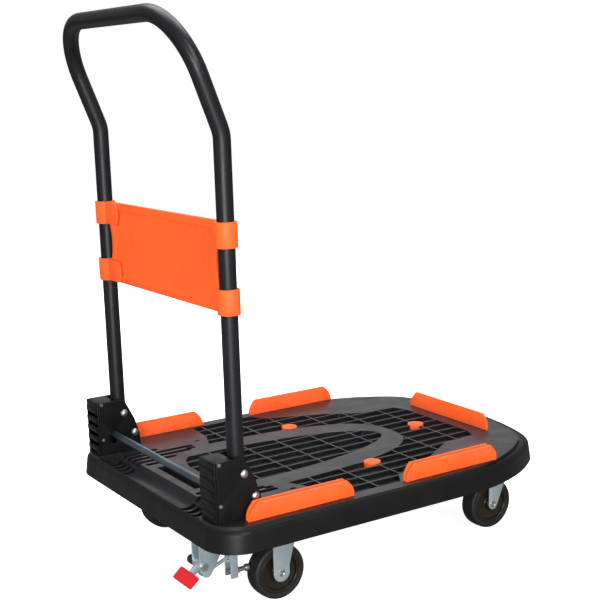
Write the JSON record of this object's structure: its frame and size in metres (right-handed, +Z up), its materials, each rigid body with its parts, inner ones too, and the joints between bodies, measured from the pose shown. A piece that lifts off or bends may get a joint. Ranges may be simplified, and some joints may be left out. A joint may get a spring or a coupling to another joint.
{
  "type": "folding platform cart",
  "caption": "Flat plastic platform on two fixed and two swivel casters, with a fold-down tube handle, raised cargo guides and a foot brake.",
  "frame": {"origin": "on the floor, under the middle of the cart's overall box", "axes": "+X towards the rounded front of the deck, +Y to the left, +Z up"},
  "size_m": [0.82, 0.6, 1.003],
  "materials": {
    "deck_plastic": "moulded black polypropylene, semi-matt, fine grain",
    "bumper_plastic": "black thermoplastic elastomer, satin",
    "cover_plastic": "black moulded plastic, satin",
    "orange_plastic": "orange moulded plastic, satin, fine ribs on the guides",
    "bracket_paint": "black powder coat on pressed steel",
    "handle_paint": "satin black paint on steel tube",
    "zinc_plate": "bright zinc plating on pressed steel",
    "bright_steel": "bright nickel or zinc plating",
    "black_rubber": "black rubber",
    "tyre": "black elastomer tread",
    "hub_plastic": "black nylon wheel core",
    "pedal_red": "red moulded plastic"
  },
  "bodies": {
    "root": {"deck": "deck_plastic", "bumper": "bumper_plastic", "deck_plugs": "orange_plastic", "side_guide_rear_left": "orange_plastic", "side_guide_rear_right": "orange_plastic", "side_guide_front_left": "orange_plastic", "side_guide_front_right": "orange_plastic", "nose_guide": "orange_plastic", "handle_bracket_left": "bracket_paint", "handle_bracket_right": "bracket_paint", "bracket_cover_left": "cover_plastic", "bracket_cover_right": "cover_plastic", "bracket_cover_screws": "bright_steel", "bracket_bolts": "zinc_plate", "pivot_rivets": "bright_steel", "stop_rivets": "bright_steel", "pivot_spacers": "zinc_plate", "release_springs": "bright_steel", "rear_fork_left": "zinc_plate", "rear_fork_right": "zinc_plate", "rear_axles": "bright_steel", "rear_axle_sleeves": "bright_steel", "swivel_plate_left": "zinc_plate", "swivel_plate_right": "zinc_plate", "king_pins": "bright_steel", "caster_bolts": "zinc_plate", "brake_bracket": "zinc_plate", "brake_hanger": "zinc_plate", "brake_pins": "bright_steel", "brake_pin_cap": "black_rubber"},
    "handle": {"handle_frame": "handle_paint", "handle_panel": "orange_plastic", "clamp_upper_left": "orange_plastic", "clamp_upper_right": "orange_plastic", "clamp_lower_left": "orange_plastic", "clamp_lower_right": "orange_plastic", "clamp_screws": "bright_steel"},
    "release_bar": {"release_bar": "zinc_plate"},
    "swivel_left": {"front_fork_left": "zinc_plate", "swivel_race_left": "zinc_plate", "front_axle_left": "bright_steel", "front_sleeve_left": "bright_steel"},
    "swivel_right": {"front_fork_right": "zinc_plate", "swivel_race_right": "zinc_plate", "front_axle_right": "bright_steel", "front_sleeve_right": "bright_steel"},
    "wheel_rear_left": {"rear_hub_left": "hub_plastic", "rear_tyre_left": "tyre"},
    "wheel_rear_right": {"rear_hub_right": "hub_plastic", "rear_tyre_right": "tyre"},
    "wheel_front_left": {"front_hub_left": "hub_plastic", "front_tyre_left": "tyre"},
    "wheel_front_right": {"front_hub_right": "hub_plastic", "front_tyre_right": "tyre"},
    "brake_pedal": {"brake_lever": "zinc_plate", "pedal_pad": "pedal_red"},
    "brake_link": {"brake_link": "zinc_plate"},
    "brake_arm": {"brake_arm": "zinc_plate", "brake_bolt": "bright_steel"}
  },
  "joints": [
    {"name": "handle_fold", "type": "hinge", "parent": "root", "child": "handle", "pos_m": [-0.319, 0, 0.252], "axis": [0, 1, 0], "range_deg": [0, 90]},
    {"name": "release_bar_slide", "type": "slide", "parent": "root", "child": "release_bar", "axis": [0, 0, -1], "range_m": [0, 0.012], "stiffness_N_per_m": 1500, "springref_m": -0.01, "deforming": ["release_springs"]},
    {"name": "swivel_left", "type": "hinge", "parent": "root", "child": "swivel_left", "pos_m": [0.301, 0.176, 0.12], "axis": [0, 0, 1], "continuous": true},
    {"name": "wheel_front_left", "type": "hinge", "parent": "swivel_left", "child": "wheel_front_left", "pos_m": [0.273, 0.176, 0.05], "axis": [0, 1, 0], "continuous": true},
    {"name": "wheel_rear_left", "type": "hinge", "parent": "root", "child": "wheel_rear_left", "pos_m": [-0.239, 0.212, 0.05], "axis": [0, 1, 0], "continuous": true},
    {"name": "swivel_right", "type": "hinge", "parent": "root", "child": "swivel_right", "pos_m": [0.301, -0.176, 0.12], "axis": [0, 0, 1], "continuous": true},
    {"name": "wheel_front_right", "type": "hinge", "parent": "swivel_right", "child": "wheel_front_right", "pos_m": [0.273, -0.176, 0.05], "axis": [0, 1, 0], "continuous": true},
    {"name": "wheel_rear_right", "type": "hinge", "parent": "root", "child": "wheel_rear_right", "pos_m": [-0.239, -0.212, 0.05], "axis": [0, 1, 0], "continuous": true},
    {"name": "brake_pedal", "type": "hinge", "parent": "root", "child": "brake_pedal", "pos_m": [-0.371, -0.185, 0.083], "axis": [0, -1, 0], "range_deg": [0, 14], "stiffness_Nm_per_rad": 1.5, "springref_deg": -17.19},
    {"name": "brake_link_turn", "type": "hinge", "parent": "brake_pedal", "child": "brake_link", "pos_m": [-0.368, -0.185, 0.068], "axis": [0, 1, 0], "range_deg": [0, 15.4]},
    {"name": "brake_arm_swing", "type": "hinge", "parent": "root", "child": "brake_arm", "pos_m": [-0.326, -0.212, 0.12], "axis": [0, -1, 0], "range_deg": [0, 6.6]}
  ],
  "couplings": [
    {"joint": "brake_link_turn", "follows": "brake_pedal", "ratio": 1.094},
    {"joint": "brake_arm_swing", "follows": "brake_pedal", "ratio": 0.459}
  ]
}
